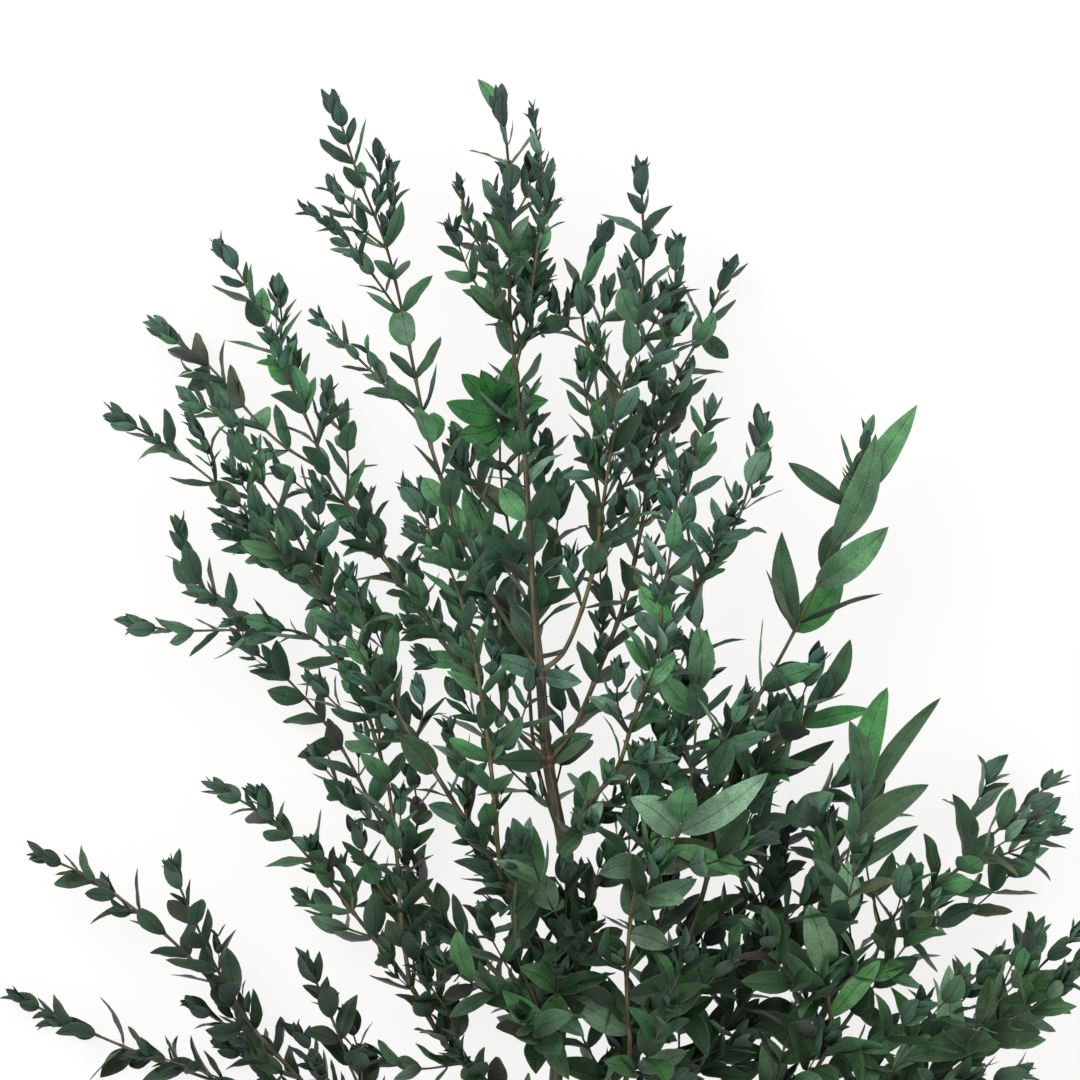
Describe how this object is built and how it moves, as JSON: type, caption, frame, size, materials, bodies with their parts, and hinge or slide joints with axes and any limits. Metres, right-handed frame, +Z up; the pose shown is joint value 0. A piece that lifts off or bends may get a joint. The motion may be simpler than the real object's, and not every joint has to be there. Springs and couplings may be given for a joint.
{
  "type": "dried eucalyptus stem",
  "caption": "Long cut eucalyptus stem, preserved and dried, with slender leafy side sprays in dark green, lying flat on a surface.",
  "frame": {"origin": "middle of the box round the lying stem, on the surface that it lies on", "axes": "+Y along the main stem from its cut end towards its tip, +Z up from the surface, +X to the right of the stem as seen from above with the tip away from the viewer"},
  "size_m": [0.4933, 0.6419, 0.1213],
  "materials": {
    "leaf": "dry, leathery leaf with a dull satin face, dark green with a dusty bloom",
    "stem_bark": "matt brown bark, ringed at the nodes"
  },
  "bodies": {
    "root": {"main_stem": "stem_bark", "left_high_spray": "leaf", "left_long_spray": "leaf", "left_front_spray": "leaf", "left_arching_spray": "leaf", "left_back_spray": "leaf", "left_low_spray": "leaf", "low_left_spray": "leaf", "right_high_spray": "leaf", "right_back_spray": "leaf", "right_front_spray": "leaf", "right_spray": "leaf", "middle_front_spray": "leaf", "right_tall_spray": "leaf", "right_dark_spray": "leaf", "low_right_spray": "leaf", "far_right_spray": "leaf", "back_spray": "leaf", "middle_left_spray": "leaf", "middle_low_spray": "leaf"}
  },
  "joints": []
}
